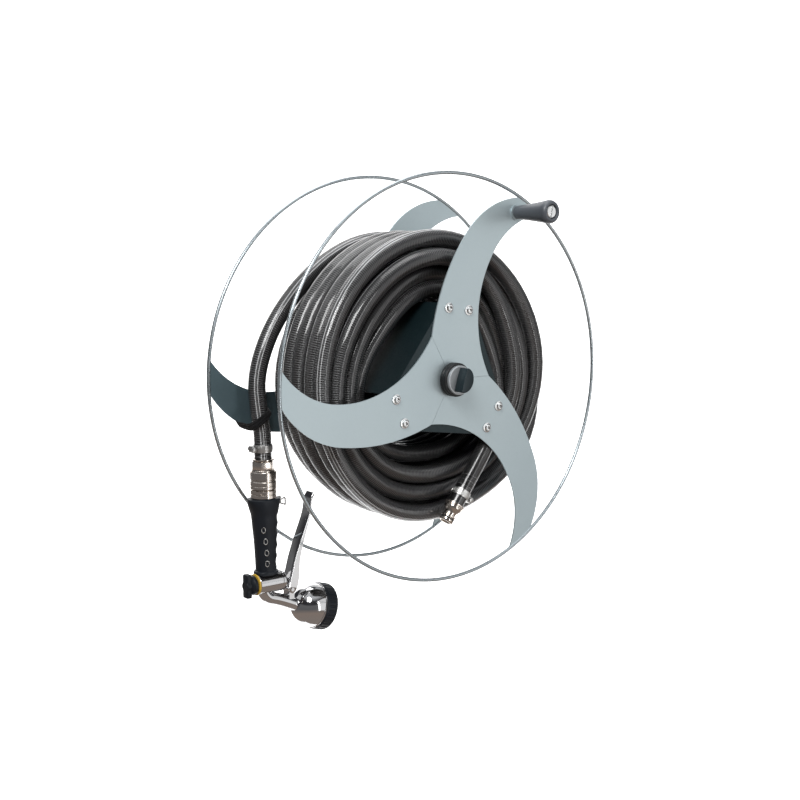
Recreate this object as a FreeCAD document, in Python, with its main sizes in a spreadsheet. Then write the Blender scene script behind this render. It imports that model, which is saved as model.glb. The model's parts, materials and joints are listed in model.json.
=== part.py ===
"""Wall-mounted hose reel with a coiled hose, a push-on coupling and a multi-pattern spray gun.

Frame: origin in the middle of the wall plate's back face, on the reel's axis. +Z is up, +Y goes into
the wall, and the reel stands out along -Y. Lengths are in millimetres.

Most pieces are drawn in a forward frame: local x is row X, local y is row Z, and local z is the
distance out from the wall. FORWARD turns that frame into the row frame.
"""
import FreeCAD, Part
import math
import os

import Sketcher
from FreeCAD import Placement, Rotation, Vector

SIZES = {
    # wheel
    "ring_radius": 275.0, "wire_radius": 2.5, "sheet": 2.0,
    "rear_plane": 70.0, "front_plane": 242.0, "seam_gap": 0.15, "seam_radius": 68.0,
    "screw_circle": 96.8, "screw_spread": 10.6, "screw_angle": 82.6,
    "screw_radius": 3.0, "screw_hole": 3.3, "screw_head": 6.8,
    # drum and hub
    "drum_distance": 73.0, "drum_half": 74.0, "drum_sheet": 1.5, "drum_tab": 21.0, "drum_ear": 7.0,
    "hub_radius": 16.0, "hub_bore": 13.0, "disc_radius": 58.0, "disc_sheet": 3.0,
    "bush_bore": 10.05, "bush_flange": 17.0, "bush_depth": 20.0, "flange_sheet": 2.0,
    # wall bracket
    "plate_width": 120.0, "plate_height": 160.0, "plate_sheet": 4.0,
    "bolt_across": 90.0, "bolt_up": 130.0, "bolt_hole": 4.5,
    "boss_end": 62.0, "boss_wide": 24.0, "boss_narrow": 17.0, "washer_end": 66.6,
    "axle_radius": 10.0, "stud_radius": 6.0, "stud_end": 258.0,
    # lock knob
    "knob_start": 245.4, "knob_step": 257.0, "knob_end": 262.0, "knob_base": 23.0, "knob_body": 20.0,
    # crank
    "crank_x": 117.0, "crank_z": 224.0, "crank_start": 245.3, "crank_length": 68.0,
    "crank_narrow": 9.0, "crank_wide": 16.0, "crank_bolt": 5.0,
    # hose
    "hose_radius": 12.0, "coil_inner": 104.5, "coil_outer": 200.0, "coil_rear": 72.0, "coil_front": 213.8,
    "hang_x": -208.0, "hang_forward": 96.0, "inner_forward": 228.6,
    # coupling, as heights on the hanging hose
    "clamp_top": -87.0, "clamp_low": -97.0, "coupling_top": -106.0, "coupling_low": -160.0,
    "sleeve_top": -123.0, "sleeve_low": -147.7, "sleeve_radius": 18.4, "sleeve_bore": 15.9,
    # spray gun
    "chamber_radius": 14.3, "chamber_z": -279.0,
    "head_x": -127.5, "head_z": -325.0, "head_radius": 33.0, "head_tilt": 16.0, "neck_radius": 9.0,
    "lever_width": 19.0, "lever_sheet": 1.5, "pivot_x": -169.0, "pivot_z": -293.0, "pivot_radius": 2.5,
}

FORWARD = Placement(Vector(0, 0, 0), Rotation(Vector(1, 0, 0), 90))
ARM_TURNS = {"top": 0, "left": 120, "right": 240}

doc = FreeCAD.newDocument("hose_reel")
sheet = doc.addObject("Spreadsheet::Sheet", "Sizes")
for row, (word, number) in enumerate(SIZES.items(), start=1):
    sheet.set(f"A{row}", word)
    sheet.set(f"B{row}", str(number))
    sheet.setAlias(f"B{row}", word)
doc.recompute()

nodes = []


# ---------------------------------------------------------------- sums of sheet words
def terms(formula):
    """The signed terms of a sum of sheet words and numbers, such as 'ring_radius - 2.5'."""
    sign = 1.0
    for word in str(formula).split():
        if word == "+":
            sign = 1.0
        elif word == "-":
            sign = -1.0
        else:
            yield sign, word


def amount(formula):
    """The value of such a sum, in millimetres."""
    return sum(sign * (sheet.get(word) if word in SIZES else float(word)) for sign, word in terms(formula))


def cells(formula):
    """The same sum as an expression on the sheet's cells."""
    parts = [f"{sign:+.0f} * {'Sizes.' + word if word in SIZES else word}" for sign, word in terms(formula)]
    return " ".join(parts)


def bind(item, **formulas):
    for name, formula in formulas.items():
        item.setExpression(name, cells(formula))


# ---------------------------------------------------------------- makers
def kept(item, label, placement=None):
    """Name a finished sub-part and put it in place."""
    item.Label = label
    if placement is not None:
        item.Placement = placement.multiply(item.Placement)
    nodes.append(item)
    return item


def forward_at(x=0.0, z=0.0, forward=0.0, turn=0.0):
    return FORWARD.multiply(Placement(Vector(x, z, forward), Rotation(Vector(0, 0, 1), turn)))


def rod(radius, length, base=Vector()):
    """A plain cylinder along local z, from a base point."""
    item = doc.addObject("Part::Cylinder", "Rod")
    bind(item, Radius=radius, Height=length)
    item.Placement.Base = base
    return item


def block(width, depth, height, corner):
    item = doc.addObject("Part::Box", "Block")
    bind(item, Length=width, Width=depth, Height=height)
    item.Placement.Base = Vector(*corner)
    return item


def fused(*items):
    union = doc.addObject("Part::MultiFuse", "Union")
    union.Shapes = list(items)
    return union


def cut(base, *tools):
    for tool in tools:
        result = doc.addObject("Part::Cut", "Cut")
        result.Base = base
        result.Tool = tool
        base = result
    return base


def group(items):
    bundle = doc.addObject("Part::Compound", "Group")
    bundle.Links = list(items)
    return bundle


def sketch_on(body, role, height=0.0):
    plane = next(item for item in body.Origin.OriginFeatures if item.Role == role)
    sketch = body.newObject("Sketcher::SketchObject", "Outline")
    sketch.AttachmentSupport = [(plane, "")]
    sketch.MapMode = "FlatFace"
    sketch.AttachmentOffset = Placement(Vector(0, 0, height), Rotation())
    return sketch


def fix_point(sketch, edge, x, y):
    """Hold an edge's start point at sums of sheet words, or on an axis where the sum is zero."""
    for direction, axis, formula in (("DistanceX", -2, x), ("DistanceY", -1, y)):
        if abs(amount(formula)) < 1e-9:
            sketch.addConstraint(Sketcher.Constraint("PointOnObject", edge, 1, axis))
        else:
            index = sketch.addConstraint(Sketcher.Constraint(direction, -1, 1, edge, 1, amount(formula)))
            sketch.setExpression(f"Constraints[{index}]", cells(formula))


def polygon(sketch, corners):
    """A closed outline of straight edges whose corners are bound to the sheet."""
    points = [Vector(amount(x), amount(y), 0) for x, y in corners]
    edges = [sketch.addGeometry(Part.LineSegment(a, b)) for a, b in zip(points, points[1:] + points[:1])]
    for here, after in zip(edges, edges[1:] + edges[:1]):
        sketch.addConstraint(Sketcher.Constraint("Coincident", here, 2, after, 1))
    for edge, (x, y) in zip(edges, corners):
        fix_point(sketch, edge, x, y)


def turned(corners):
    """A body of revolution about local z from (radius, height) corners."""
    body = doc.addObject("PartDesign::Body", "Turned")
    sketch = sketch_on(body, "XZ_Plane")
    polygon(sketch, corners)
    spin = body.newObject("PartDesign::Revolution", "Spin")
    spin.Profile = sketch
    spin.ReferenceAxis = (sketch, ["V_Axis"])
    spin.Angle = 360
    return body


def plate(edges, thickness, height=0.0, holes=()):
    """A flat piece: a closed run of edges in local xy with round (x, y, radius) holes, padded along z."""
    body = doc.addObject("PartDesign::Body", "Plate")
    sketch = sketch_on(body, "XY_Plane", height)
    for edge in edges:
        sketch.addGeometry(edge)
    for x, y, radius in holes:
        circle = sketch.addGeometry(Part.Circle(Vector(x, y, 0), Vector(0, 0, 1), amount(radius)))
        index = sketch.addConstraint(Sketcher.Constraint("Radius", circle, amount(radius)))
        sketch.setExpression(f"Constraints[{index}]", cells(radius))
    pad = body.newObject("PartDesign::Pad", "Pad")
    pad.Profile = sketch
    bind(pad, Length=thickness)
    return body


def rounded_route(points):
    """A wire of straight runs joined by tangent arcs as large as the runs allow, and its smallest radius."""
    points = [Vector(*point) for point in points]
    edges, at, radii = [], points[0], []
    for before, corner, after in zip(points, points[1:], points[2:]):
        came, goes = corner - before, after - corner
        half = came.getAngle(goes) / 2
        reach = 0.45 * min(came.Length, goes.Length)
        radii.append(reach / math.tan(half))
        start = corner - Vector(came).normalize() * reach
        end = corner + Vector(goes).normalize() * reach
        sag = radii[-1] * (1 / math.cos(half) - 1)
        inward = ((start + end) / 2 - corner).normalize()
        edges.append(Part.LineSegment(at, start).toShape())
        edges.append(Part.Arc(start, corner + inward * sag, end).toShape())
        at = end
    edges.append(Part.LineSegment(at, points[-1]).toShape())
    return Part.Wire(edges), min(radii)


def swept(label, points, radius):
    """A round rod along a rounded route, checked against its section times its length."""
    wire, smallest = rounded_route(points)
    first, second = Vector(*points[0]), Vector(*points[1])
    profile = Part.Wire(Part.makeCircle(radius, first, second - first))
    shape = wire.makePipeShell([profile], True, True)
    ratio = shape.Volume / (math.pi * radius ** 2 * wire.Length)
    print(f"{label}: length {wire.Length:.1f}, smallest radius {smallest:.1f}, volume ratio {ratio:.4f}")
    item = doc.addObject("Part::Feature", "Swept")
    item.Shape = shape
    return kept(item, label)


# ---------------------------------------------------------------- wall bracket
def wall_bracket():
    corner = (-amount("plate_width") / 2, -amount("plate_height") / 2, 0)
    base = block("plate_width", "plate_height", "plate_sheet", corner)
    holes = []
    for x in (-1, 1):
        for z in (-1, 1):
            centre = Vector(x * amount("bolt_across") / 2, z * amount("bolt_up") / 2, 0)
            holes.append(rod("bolt_hole", "plate_sheet", centre))
    kept(cut(base, *holes), "wall_plate", FORWARD)
    boss = turned([("axle_radius", "plate_sheet"), ("boss_wide", "plate_sheet"),
                   ("boss_narrow", "boss_end - 30"), ("boss_narrow", "boss_end"), ("axle_radius", "boss_end")])
    kept(boss, "bracket_boss", FORWARD)
    washer = turned([("axle_radius + 0.05", "boss_end"), ("boss_narrow", "boss_end"),
                     ("boss_narrow", "washer_end"), ("axle_radius + 0.05", "washer_end")])
    kept(washer, "thrust_washer", FORWARD)
    axle = turned([("0", "plate_sheet"), ("axle_radius", "plate_sheet"), ("axle_radius", "front_plane + 3"),
                   ("stud_radius", "front_plane + 3"), ("stud_radius", "stud_end"), ("0", "stud_end")])
    kept(axle, "axle", FORWARD)


# ---------------------------------------------------------------- wheel
def polar(radius, degrees):
    return Vector(radius * math.cos(math.radians(degrees)), radius * math.sin(math.radians(degrees)), 0)


def bent(centre, first, last):
    """The arc about a centre from one point to another, the short way."""
    between = ((first + last) / 2 - centre).normalize()
    return Part.Arc(first, centre + between * (((first - centre).Length + (last - centre).Length) / 2), last)


def arm_edges():
    """The swirl blade: two seams, a convex and a concave edge, each of two tangent arcs, a tip and a hub arc."""
    gap, seam, hub_edge = amount("seam_gap"), amount("seam_radius"), amount("hub_bore + 0.3")
    tip = amount("ring_radius - wire_radius + 1")
    convex_inner, convex_outer, convex_joint = Vector(253.5, 18.4), Vector(123.8, 115.7), Vector(22.9, 191.5)
    concave_inner, concave_outer, concave_joint = Vector(210.3, 79.4), Vector(169.4, 105.6), Vector(73.4, 167.2)
    seam_turn, hub_turn = math.degrees(gap / seam), math.degrees(gap / hub_edge)
    seam_low, seam_high = polar(seam, seam_turn), polar(seam, 120 - seam_turn)
    hub_low, hub_high = polar(hub_edge, hub_turn), polar(hub_edge, 120 - hub_turn)
    tip_low, tip_high = polar(tip, 54), polar(tip, 63.5)
    return [
        Part.LineSegment(hub_low, seam_low),
        bent(concave_inner, seam_low, concave_joint),
        bent(concave_outer, concave_joint, tip_low),
        Part.Arc(tip_low, polar(tip, 58.75), tip_high),
        bent(convex_outer, tip_high, convex_joint),
        bent(convex_inner, convex_joint, seam_high),
        Part.LineSegment(seam_high, hub_high),
        Part.Arc(hub_high, polar(hub_edge, 60), hub_low),
    ]


def screw_places():
    """The six screw centres of one flange, in the forward frame."""
    for turn in ARM_TURNS.values():
        for side in (-1, 1):
            angle = math.radians(amount("screw_angle") + turn + side * amount("screw_spread"))
            yield amount("screw_circle") * math.cos(angle), amount("screw_circle") * math.sin(angle)


def arms(side, back):
    """Three blades of one flange; back is the sheet face nearer the wall."""
    own = [place for place in screw_places()][:2]
    holes = [(x, y, "screw_hole") for x, y in own]
    for word, turn in ARM_TURNS.items():
        extra = []
        if side == "front" and word == "top":
            extra = [(amount("crank_x"), amount("crank_z"), "crank_bolt + 0.3")]
        blade = plate(arm_edges(), "sheet", back, holes + extra)
        if side == "rear" and word == "left":
            slot = block("4", "20", "sheet + 4", (-2, -10, back - 2))
            blade = cut(blade, slot)
            place = Placement(Vector(-199.3, -39.9, 0), Rotation(Vector(0, 0, 1), math.degrees(math.atan(0.6))))
            slot.Placement = Placement(Vector(), Rotation(Vector(0, 0, 1), -turn)).multiply(place).multiply(
                slot.Placement)
        kept(blade, f"{side}_arm_{word}", FORWARD.multiply(Placement(Vector(), Rotation(Vector(0, 0, 1), turn))))


def rings():
    for side, plane in (("rear", "rear_plane"), ("front", "front_plane")):
        ring = doc.addObject("Part::Torus", "Ring")
        bind(ring, Radius1="ring_radius", Radius2="wire_radius")
        ring.Placement.Base.z = amount(plane)
        kept(ring, f"{side}_ring", FORWARD)


def drum_plate(word, normal):
    """A flat plate with a tab bent inward at each flange, screwed to two neighbouring arms."""
    inner = amount("drum_distance - drum_sheet")
    back, front = amount("rear_plane + 1"), amount("front_plane - 1")
    half = amount("drum_half")
    parts = [block("drum_sheet", "drum_half + drum_half", "front_plane - rear_plane - sheet", (inner, -half, back))]
    angle = math.radians(60 - amount("screw_spread"))
    screw = amount("screw_circle") * math.cos(angle), amount("screw_circle") * math.sin(angle)
    holes = []
    for level in (back, front - amount("drum_sheet")):
        tab_corner = (amount("drum_distance - drum_tab"), -half, level)
        parts.append(block("drum_tab", "drum_half + drum_half", "drum_sheet", tab_corner))
        for side in (-1, 1):
            centre = Vector(screw[0], side * screw[1], level)
            parts.append(rod("drum_ear", "drum_sheet", centre))
            holes.append(rod("screw_hole", "drum_sheet", centre))
    kept(cut(fused(*parts), *holes), word, forward_at(turn=normal))


def hexagon(across):
    """Edges of a regular hexagon of a given width across its flats."""
    radius = across / math.sqrt(3)
    corners = [Vector(radius * math.cos(math.radians(60 * k)), radius * math.sin(math.radians(60 * k)), 0)
               for k in range(6)]
    return [Part.LineSegment(a, b) for a, b in zip(corners, corners[1:] + corners[:1])]


def fasteners(side, face, outward):
    """Six flanged button screws and their nuts; face is the sheet's outer face."""
    stack = amount("sheet + drum_sheet")
    screws, nuts = [], []
    for x, y in screw_places():
        screw = turned([("0", "-10"), ("screw_radius", "-10"), ("screw_radius", "0"), ("screw_head", "0"),
                        ("screw_head", "1.4"), ("screw_head - 1.7", "1.8"), ("screw_head - 3", "4.4"),
                        ("2.3", "4.6"), ("2.3", "2.4"), ("0", "2.4")])
        turn = Rotation() if outward > 0 else Rotation(Vector(1, 0, 0), 180)
        screw.Placement = Placement(Vector(x, y, face), turn)
        screws.append(screw)
        nut = plate(hexagon(10.0), "5", 0.0, [(0, 0, "screw_radius")])
        start = face - outward * stack - (5 if outward > 0 else 0)
        nut.Placement = Placement(Vector(x, y, start), Rotation())
        nuts.append(nut)
    kept(group(screws), f"{side}_screws", FORWARD)
    kept(group(nuts), f"{side}_nuts", FORWARD)


def hub():
    tube = turned([("hub_bore", "rear_plane + 1"), ("hub_radius", "rear_plane + 1"),
                   ("hub_radius", "front_plane - 1"), ("hub_bore", "front_plane - 1")])
    kept(tube, "hub_tube", FORWARD)
    for side, low in (("rear", "rear_plane + 1"), ("front", "front_plane - 1 - disc_sheet")):
        disc = turned([("hub_radius", low), ("disc_radius - 10", low), ("disc_radius - 10", f"{low} + disc_sheet"),
                       ("hub_radius", f"{low} + disc_sheet")])
        kept(disc, f"{side}_hub_disc", FORWARD)
    for side, face, out in (("rear", "rear_plane - 1", -1), ("front", "front_plane + 1", 1)):
        sign = "+" if out > 0 else "-"
        other = "-" if out > 0 else "+"
        bush = turned([("bush_bore", f"{face} {sign} flange_sheet"), ("bush_flange", f"{face} {sign} flange_sheet"),
                       ("bush_flange", face), ("hub_bore", face), ("hub_bore", f"{face} {other} bush_depth"),
                       ("bush_bore", f"{face} {other} bush_depth")])
        kept(bush, f"{side}_bush", FORWARD)


# ---------------------------------------------------------------- crank and lock knob
def crank():
    place = forward_at(amount("crank_x"), amount("crank_z"))
    washer = turned([("crank_bolt", "front_plane + 1"), ("11", "front_plane + 1"),
                     ("11", "crank_start - 0.3"), ("crank_bolt", "crank_start - 0.3")])
    kept(washer, "crank_washer", place)
    nut = plate(hexagon(17.0), "6", amount("front_plane - 7"), [(0, 0, "crank_bolt")])
    kept(nut, "crank_nut", place)
    seat = "crank_start + crank_length - 5"
    bolt = turned([("0", "front_plane - 8"), ("crank_bolt", "front_plane - 8"), ("crank_bolt", f"{seat} + 0.2"),
                   ("8.5", f"{seat} + 0.2"), ("8.5", f"{seat} + 2.6"), ("7.5", f"{seat} + 3.4"),
                   ("0", f"{seat} + 3.4")])
    slot = block("17", "2", "1.4", (-8.5, -1, amount(f"{seat} + 2.2")))
    slot.Placement = Placement(Vector(), Rotation(Vector(0, 0, 1), 78)).multiply(slot.Placement)
    kept(cut(bolt, slot), "crank_bolt", place)
    end = "crank_start + crank_length"
    grip = turned([("crank_bolt + 0.05", "crank_start"), ("crank_narrow", "crank_start"),
                   ("crank_narrow + 0.6", "crank_start + 12"), ("crank_wide - 4", "crank_start + 34"),
                   ("crank_wide - 0.6", "crank_start + 52"), ("crank_wide", "crank_start + 58"),
                   ("crank_wide - 0.8", f"{end} - 4"), ("crank_wide - 3.6", end), ("10", end),
                   ("10", seat), ("crank_bolt + 0.05", seat)])
    kept(grip, "crank_grip", place)


def lock_knob():
    base = turned([("stud_radius + 0.05", "knob_start"), ("knob_base", "knob_start"), ("knob_base", "knob_step - 1"),
                   ("knob_base - 1", "knob_step"), ("stud_radius + 0.05", "knob_step")])
    kept(base, "lock_knob_base", FORWARD)
    cap = turned([("0", "stud_end + 0.4"), ("stud_radius + 0.05", "stud_end + 0.4"),
                  ("stud_radius + 0.05", "knob_step"), ("knob_body", "knob_step"), ("knob_body", "knob_end - 1.5"),
                  ("knob_body - 1.5", "knob_end"), ("0", "knob_end")])
    kept(cap, "lock_knob_cap", FORWARD)
    wing = block("16", "35", "20", (-8, -17.5, amount("knob_end")))
    kept(wing, "lock_knob_wing", forward_at(turn=-14))


# ---------------------------------------------------------------- hose
HANG = Placement(Vector(SIZES["hang_x"], -SIZES["hang_forward"], 0), Rotation())


def hose():
    coil = turned([("coil_inner", "coil_rear"), ("coil_outer", "coil_rear"), ("coil_outer", "coil_front"),
                   ("coil_inner", "coil_front")])
    kept(coil, "hose_coil", FORWARD)
    out = -amount("hang_forward")
    hanging = [(-104, out + 4, 155), (-140, out + 4, 127), (-173, out + 3, 93), (-200, out + 2, 52),
               (-217, out + 1, 4), (-214.5, out, -36), (amount("hang_x"), out, -72),
               (amount("hang_x"), out, amount("coupling_top"))]
    swept("hose_outer_end", hanging, amount("hose_radius"))
    front = -amount("inner_forward")
    inner = [(113.5, front + 26, -2), (111, front + 17, -37), (96, front + 5, -75), (71, front, -110.4), inner_end()]
    swept("hose_inner_end", inner, amount("hose_radius"))


def inner_end():
    return 20.0, -amount("inner_forward"), -176.8


def along_inner():
    """Placement whose local z points out of the hose's inner end."""
    out = Vector(20.0 - 71, 0, -176.8 + 110.4)
    return Placement(Vector(*inner_end()), Rotation(Vector(0, 0, 1), out))


def clamp_band(label, place, low, high):
    """A worm-drive band with its screw housing beside it."""
    band = turned([("hose_radius + 0.1", low), ("hose_radius + 1.2", low), ("hose_radius + 1.2", high),
                   ("hose_radius + 0.1", high)])
    housing = block("7", "12", "9", (-amount("hose_radius") - 8, -6, amount(low) + 0.5))
    worm = rod("2.6", "17")
    worm.Placement = Placement(Vector(-amount("hose_radius") - 5.0, 8.5, amount(low) + 5),
                               Rotation(Vector(1, 0, 0), 90))
    kept(fused(band, housing, worm), label, place)


def fittings():
    clamp_band("outer_hose_clamp", HANG, "clamp_low", "clamp_top")
    body = turned([("8", "coupling_top"), ("14.9", "coupling_top"), ("14.9", "coupling_top - 4"),
                   ("13.95", "coupling_top - 4"), ("13.95", "coupling_top - 10"), ("15.85", "coupling_top - 10"),
                   ("15.85", "sleeve_low - 0.3"), ("18", "sleeve_low - 0.3"), ("18", "coupling_low"),
                   ("8", "coupling_low")])
    kept(body, "coupling_body", HANG)
    sleeve = turned([("sleeve_bore", "sleeve_top"), ("sleeve_radius - 0.6", "sleeve_top"),
                     ("sleeve_radius", "sleeve_top - 1"), ("sleeve_radius", "sleeve_low + 1"),
                     ("sleeve_radius - 0.6", "sleeve_low"), ("sleeve_bore", "sleeve_low")])
    kept(sleeve, "coupling_sleeve", HANG)
    place = along_inner()
    clamp_band("inner_hose_clamp", place, "-22", "-12")
    nipple = turned([("6", "0"), ("14.5", "0"), ("14.5", "4"), ("12.6", "4"), ("12.6", "8"), ("8.5", "15.5"),
                     ("8.5", "18"), ("10", "18"), ("10", "21"), ("8.6", "21"), ("8.6", "24"), ("10", "24"),
                     ("10", "27"), ("9", "28.5"), ("6", "28.5")])
    kept(nipple, "inlet_nipple", place)
    seal = doc.addObject("Part::Torus", "Seal")
    seal.Radius1 = 9.4
    seal.Radius2 = 0.79
    seal.Placement.Base.z = 22.5
    kept(seal, "inlet_seal", place)


def strap():
    """A flat band round the hanging hose and the edge of the rear left arm, through the arm's slot."""
    def loop(grow):
        item = doc.addObject("Part::Box", "Loop")
        item.Length = 39 + 2 * grow
        item.Width = 42 + 2 * grow
        item.Height = 14 if grow else 20
        item.Placement.Base = Vector(-22 - grow, -14 - grow, -7 if grow else -10)
        return item
    lie = Rotation(Vector(0, 1, 0), -math.degrees(math.atan(0.6)))
    place = Placement(Vector(-214.5, -amount("hang_forward") + 1, -49), lie)
    kept(cut(loop(1.5), loop(0.0)), "hose_strap", place)


# ---------------------------------------------------------------- spray gun
def in_gun(x=0.0, z=0.0, direction=(0, 0, 1)):
    return Placement(Vector(x, -amount("hang_forward"), z), Rotation(Vector(0, 0, 1), Vector(*direction)))


def gun_grip():
    """A tapered oval handle, lofted through ovals of (height, shift, half width, half depth)."""
    sections = [(-160.3, 0, 20, 17), (-163.5, 0, 23, 18.5), (-168, 0, 22, 18), (-182, 1, 18.4, 15.8),
                (-220, 2.3, 16, 15), (-250, 2.4, 14.4, 14), (-261, 2.4, 14.2, 13.8), (-262.5, 2.7, 16.2, 15),
                (-266, 2.7, 16, 15)]
    body = doc.addObject("PartDesign::Body", "Grip")
    ovals = []
    for height, shift, wide, deep in sections:
        oval = sketch_on(body, "XY_Plane", height)
        oval.addGeometry(Part.Ellipse(Vector(shift + wide, 0, 0), Vector(shift, deep, 0), Vector(shift, 0, 0)))
        ovals.append(oval)
    loft = body.newObject("PartDesign::AdditiveLoft", "Loft")
    loft.Profile = ovals[0]
    loft.Sections = ovals[1:]
    loft.Ruled = True
    hole = rod("1.05", "50")
    hole.Placement = Placement(Vector(18, 25, -170), Rotation(Vector(1, 0, 0), 90))
    kept(cut(body, hole), "gun_grip", HANG)
    inlet = turned([("5", "coupling_low - 0.3"), ("7.95", "coupling_low - 0.3"),
                    ("7.95", "coupling_low + 18"), ("5", "coupling_low + 18")])
    kept(inlet, "gun_inlet", HANG)


def gun_valve():
    """The cross chamber with its spigot to the left and the stem's bore on the right."""
    place = in_gun(-180, amount("chamber_z"), (-1, 0, 0))
    chamber = turned([("0", "14"), ("3.05", "14"), ("3.05", "0"), ("chamber_radius - 1.5", "0"),
                      ("chamber_radius", "1.5"), ("chamber_radius", "42"), ("5", "42"), ("5", "56"), ("0", "56")])
    kept(chamber, "valve_chamber", place)
    ring = turned([("5", "42"), ("chamber_radius + 0.5", "42"), ("chamber_radius + 0.5", "45"), ("5", "45")])
    kept(ring, "chamber_ring", place)
    stem = turned([("0", "-5.4"), ("2.2", "-5.4"), ("3", "-4.4"), ("3", "8"), ("0", "8")])
    kept(stem, "valve_stem", place)
    knob = turned([("0", "56.5"), ("5.05", "56.5"), ("5.05", "45.4"), ("13", "45.4"), ("13", "49.5"), ("8", "53"),
                   ("8", "59"), ("7", "60"), ("0", "60")])
    wing = block("33", "12", "8", (-16.5, -6, 51.5))
    bore = rod("5.05", "11.5", Vector(0, 0, 45))
    kept(cut(fused(knob, wing), bore), "flow_knob", place)


def gun_neck_and_head():
    y = -amount("hang_forward")
    route = [(-212, y, -284), (-208, y, -298), (-186, y, -305), (-157, y, -319)]
    swept("gun_neck", route, amount("neck_radius"))
    tilt = math.radians(amount("head_tilt"))
    face = in_gun(amount("head_x"), amount("head_z"), (math.cos(tilt), 0, -math.sin(tilt)))
    bell = turned([("0", "-34"), ("neck_radius", "-34"), ("17", "-30"), ("25", "-22.5"), ("29.5", "-12"),
                   ("31", "-4"), ("31", "0"), ("4", "0"), ("4", "8"), ("0", "8")])
    kept(bell, "gun_bell", face)
    rim = turned([("27", "0.4"), ("head_radius - 1", "0.4"), ("head_radius", "2"), ("head_radius", "17"),
                  ("head_radius - 2", "20"), ("27", "20")])
    kept(rim, "head_rim", face)
    disc = turned([("4.05", "3"), ("27", "3"), ("27", "17"), ("10", "18.5"), ("0", "18.5"), ("0", "8.5"),
                   ("4.05", "8.5")])
    kept(disc, "head_face", face)


def pivot(forward):
    """The lever's pivot, some way out from the gun's middle plane."""
    return Vector(amount("pivot_x"), amount("pivot_z"), forward)


def outline(points):
    """A closed run of straight edges through (x, z) points."""
    corners = [Vector(x, z, 0) for x, z in points]
    return [Part.LineSegment(here, after) for here, after in zip(corners, corners[1:] + corners[:1])]


def trigger():
    """A pressed channel lever, open away from the handle, that turns on a pin through a boss on the neck."""
    web = [(-174.4, -282), (-170, -268), (-165.6, -250.6), (-157, -228), (-139.5, -186)]
    edge = [(-136.6, -187), (-150.2, -229), (-156.9, -255), (-157.2, -278.6), (-161, -290), (-165, -299)]
    flare = [(-137.5, -170), (-134, -162), (-131, -160.5), (-134.6, -169)]
    wide, wall = amount("lever_width"), amount("lever_sheet")
    side = plate(outline([(-173, -299), (-175, -288)] + web + flare + edge), "lever_width", -wide / 2)
    hollow = [(x + wall, z) for x, z in web[:-1]] + [(-140.5 + wall, -190), (-120, -190), (-120, -305), (-185, -305),
                                                     (-185, -289), (-174.9 + wall, -289)]
    pocket = plate(outline(hollow), "lever_width - lever_sheet - lever_sheet", wall - wide / 2)
    bore = rod("pivot_radius + 0.05", "lever_width + 4", pivot(-wide / 2 - 2))
    front = forward_at(forward=amount("hang_forward"))
    kept(cut(side, pocket, bore), "trigger_lever", front)
    kept(rod("pivot_radius", "lever_width + 2", pivot(-wide / 2 - 1)), "trigger_pin", front)
    deep = "lever_width - lever_sheet - lever_sheet - 0.6"
    corner = pivot(-amount(deep) / 2)
    boss = fused(block("8", "14", deep, corner + Vector(-4, -14, 0)), rod("4.5", deep, corner))
    kept(cut(boss, rod("pivot_radius", "lever_width", pivot(-wide / 2))), "trigger_lugs", front)


def lock_bail():
    """A wire loop on a cross pin through the handle, which holds the squeezed lever: pin, legs, cross wire."""
    root = Vector(amount("hang_x") + 18, -amount("hang_forward"), -170)
    reach, across = Vector(11, 0, 5), Vector(0, 1, 0)
    wires = []
    for start, direction, length in ((root - across * 13, across, "26"), (root - across * 12, reach, "12.1"),
                                     (root + across * 12, reach, "12.1"), (root - across * 13 + reach, across, "26")):
        wire = rod("1", length)
        wire.Placement = Placement(start, Rotation(Vector(0, 0, 1), direction))
        wires.append(wire)
    kept(fused(*wires), "lock_bail")


wall_bracket()
arms("rear", amount("rear_plane") - amount("sheet") / 2)
arms("front", amount("front_plane") - amount("sheet") / 2)
rings()
drum_plate("drum_plate_right", amount("screw_angle") - 60)
drum_plate("drum_plate_left", amount("screw_angle") + 60)
drum_plate("drum_plate_low", amount("screw_angle") + 180)
hub()
fasteners("rear", amount("rear_plane - 1"), -1)
fasteners("front", amount("front_plane + 1"), 1)
crank()
lock_knob()
hose()
fittings()
strap()
gun_grip()
gun_valve()
gun_neck_and_head()
trigger()
lock_bail()

doc.recompute()
failed = [item.Label for item in doc.Objects if {"Invalid", "Error"} & set(item.State)]
failed += [item.Label for item in nodes if item.Shape.isNull() or not item.Shape.isValid()]
if failed:
    raise RuntimeError(f"these objects failed: {failed}")
os.makedirs("parts", exist_ok=True)
for item in nodes:
    item.Shape.exportStep(f"parts/{item.Label}.step")
print(f"{len(nodes)} nodes written")
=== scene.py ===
# %% [markdown]
# # A wall hose reel with a spray gun
#
# The engineered frame of the reel comes in ready made: the wheel, the hub, the bracket and every joint.
# This notebook gives it its looks. It winds the hose as one real length, turns and bends the fittings and
# the spray gun, and makes a finish for each surface. Everything is in metres, in the reel's own frame:
# +Z is up, +Y goes into the wall, and the reel stands out along -Y.

# %% Load the frame
import json
import math
import random

import bmesh
import bpy
from mathutils import Matrix, Vector

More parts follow.
